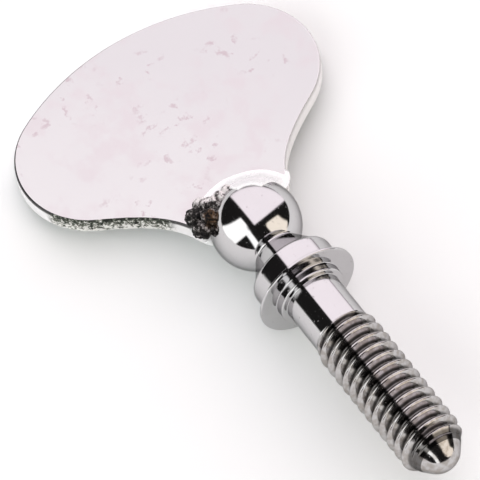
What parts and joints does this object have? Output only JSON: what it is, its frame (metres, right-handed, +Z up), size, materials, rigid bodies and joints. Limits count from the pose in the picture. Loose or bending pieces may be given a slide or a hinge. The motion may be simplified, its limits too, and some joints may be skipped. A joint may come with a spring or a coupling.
{
  "type": "wing screw",
  "caption": "Wing screw with a fan-shaped sheet wing brazed into a ball head, a collar with a thin flange, a plain shank and a thread with a tapered point.",
  "frame": {"origin": "on the ground, under the middle of the bounding box, with the screw lying as it rests", "axes": "+X towards the threaded point, level with the ground; +Y across the wing; +Z up, away from the ground"},
  "size_m": [0.0372, 0.0206, 0.0076],
  "materials": {
    "turned_metal": "bright plated, with fine turning marks",
    "wing_sheet": "plated over a coarse polish, with sheared edges",
    "braze": "plated braze metal, smooth on the run and burnt and pitted at the lumps"
  },
  "bodies": {
    "root": {"screw": "turned_metal", "wing": "wing_sheet", "braze_front": "braze", "braze_back": "braze"}
  },
  "joints": []
}
